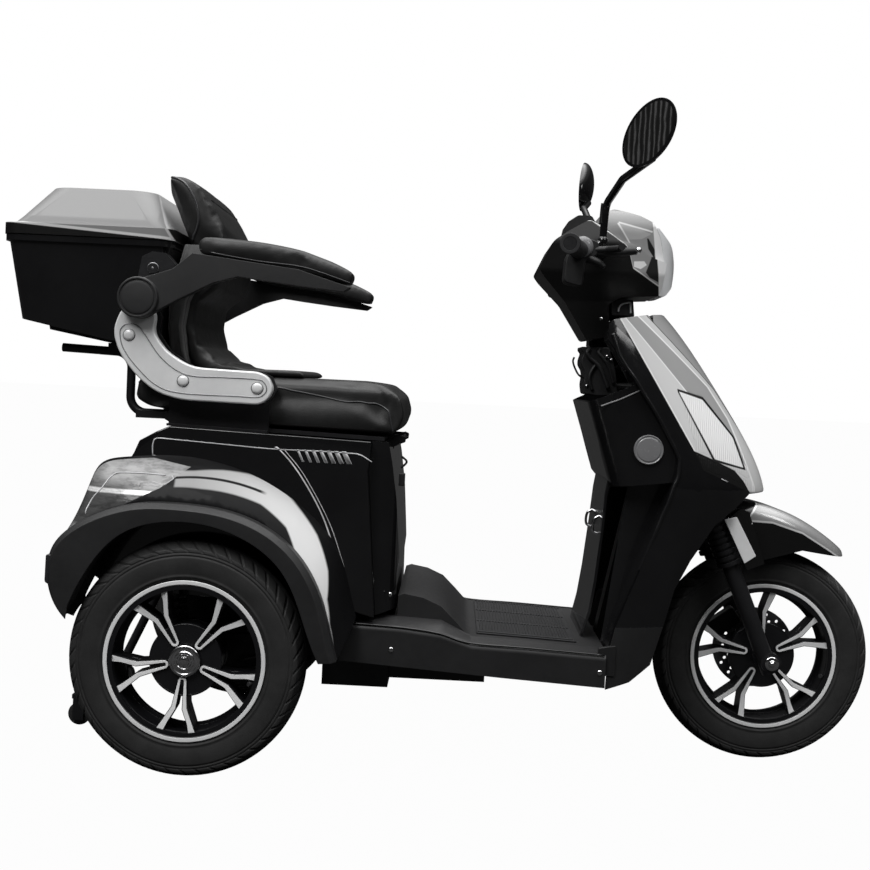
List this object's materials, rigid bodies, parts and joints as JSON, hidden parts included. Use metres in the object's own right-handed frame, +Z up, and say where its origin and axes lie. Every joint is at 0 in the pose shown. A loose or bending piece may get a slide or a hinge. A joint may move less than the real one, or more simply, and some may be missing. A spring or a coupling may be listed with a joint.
{
  "type": "electric three-wheel scooter",
  "caption": "Electric three-wheel scooter with a steered front wheel, padded seat, folding armrests and a lidded top box.",
  "frame": {"origin": "on the ground, under the middle of the vehicle's overall box", "axes": "+X forward, +Y to the rider's left, +Z up"},
  "size_m": [1.671, 0.7555, 1.2117],
  "materials": {
    "gloss_black": "gloss",
    "silver_paint": "metallic paint",
    "matte_black": "fine grain",
    "lid_black": "satin",
    "steel_black": "satin",
    "alloy_bright": "brushed",
    "alloy_black": "painted with machined edges",
    "disc_steel": "brushed",
    "tyre": "matt",
    "rubber": "matt",
    "leather": "grained",
    "clear_lens": "clear",
    "mirror": "polished",
    "mirror_black": "gloss",
    "battery_case": "satin"
  },
  "bodies": {
    "chassis": {"arch_flares": "matte_black", "battery": "battery_case", "body_front": "gloss_black", "drive_unit": "steel_black", "floor_mat": "rubber", "footboard": "matte_black", "frame": "steel_black", "inner_shield": "matte_black", "leg_shield": "gloss_black", "lower_skirt": "matte_black", "neck_frame": "steel_black", "nose_lamps": "clear_lens", "nose_panel": "silver_paint", "rear_body": "gloss_black", "rear_fenders": "gloss_black", "rear_shocks": "steel_black", "tail_lamps": "clear_lens", "tip_arms": "steel_black"},
    "seat": {"seat_frame": "steel_black", "arm_brackets": "alloy_bright", "cushion": "leather", "seat_pad": "leather", "back_shell": "matte_black", "box_tub": "matte_black", "box_rack": "steel_black"},
    "armrest_left": {"arm_left": "matte_black", "arm_pad_left": "leather"},
    "armrest_right": {"arm_right": "matte_black", "arm_pad_right": "leather"},
    "lid": {"box_lid": "lid_black"},
    "steering": {"fork": "steel_black", "handlebar": "steel_black", "grips": "rubber", "levers": "alloy_bright", "head_cover": "matte_black", "head_shell": "silver_paint", "headlight_lens": "clear_lens", "instrument_hood": "matte_black", "mirrors": "mirror_black", "mirror_glasses": "mirror", "brake_caliper": "alloy_bright", "front_fender": "silver_paint"},
    "front_wheel": {"tyre_front": "tyre", "rim_front": "alloy_black", "brake_disc": "disc_steel"},
    "rear_wheel_left": {"tyre_rear_left": "tyre", "rim_rear_left": "alloy_black"},
    "rear_wheel_right": {"tyre_rear_right": "tyre", "rim_rear_right": "alloy_black"},
    "tip_wheel_left": {"tip_wheel_left": "tyre"},
    "tip_wheel_right": {"tip_wheel_right": "tyre"}
  },
  "joints": [
    {"name": "steering_turn", "type": "hinge", "parent": "chassis", "child": "steering", "pos_m": [0.585, 0, 0.208], "axis": [-0.3971, 0, 0.9178], "range_deg": [-35, 35]},
    {"name": "front_wheel_spin", "type": "hinge", "parent": "steering", "child": "front_wheel", "pos_m": [0.621, 0, 0.208], "axis": [0, 1, 0], "continuous": true},
    {"name": "rear_wheel_left_spin", "type": "hinge", "parent": "chassis", "child": "rear_wheel_left", "pos_m": [-0.446, 0.283, 0.208], "axis": [0, 1, 0], "continuous": true},
    {"name": "rear_wheel_right_spin", "type": "hinge", "parent": "chassis", "child": "rear_wheel_right", "pos_m": [-0.446, -0.283, 0.208], "axis": [0, 1, 0], "continuous": true},
    {"name": "tip_wheel_left_spin", "type": "hinge", "parent": "chassis", "child": "tip_wheel_left", "pos_m": [-0.672, 0.15, 0.062], "axis": [0, 1, 0], "continuous": true},
    {"name": "tip_wheel_right_spin", "type": "hinge", "parent": "chassis", "child": "tip_wheel_right", "pos_m": [-0.672, -0.15, 0.062], "axis": [0, 1, 0], "continuous": true},
    {"name": "seat_tilt", "type": "hinge", "parent": "chassis", "child": "seat", "pos_m": [-0.098, 0, 0.598], "axis": [0, 1, 0], "range_deg": [0, 30]},
    {"name": "armrest_left_lift", "type": "hinge", "parent": "seat", "child": "armrest_left", "pos_m": [-0.558, 0.274, 0.832], "axis": [0, -1, 0], "range_deg": [0, 90]},
    {"name": "armrest_right_lift", "type": "hinge", "parent": "seat", "child": "armrest_right", "pos_m": [-0.558, -0.274, 0.832], "axis": [0, -1, 0], "range_deg": [0, 90]},
    {"name": "lid_open", "type": "hinge", "parent": "seat", "child": "lid", "pos_m": [-0.836, 0, 0.888], "axis": [0, -1, 0], "range_deg": [0, 80]}
  ]
}
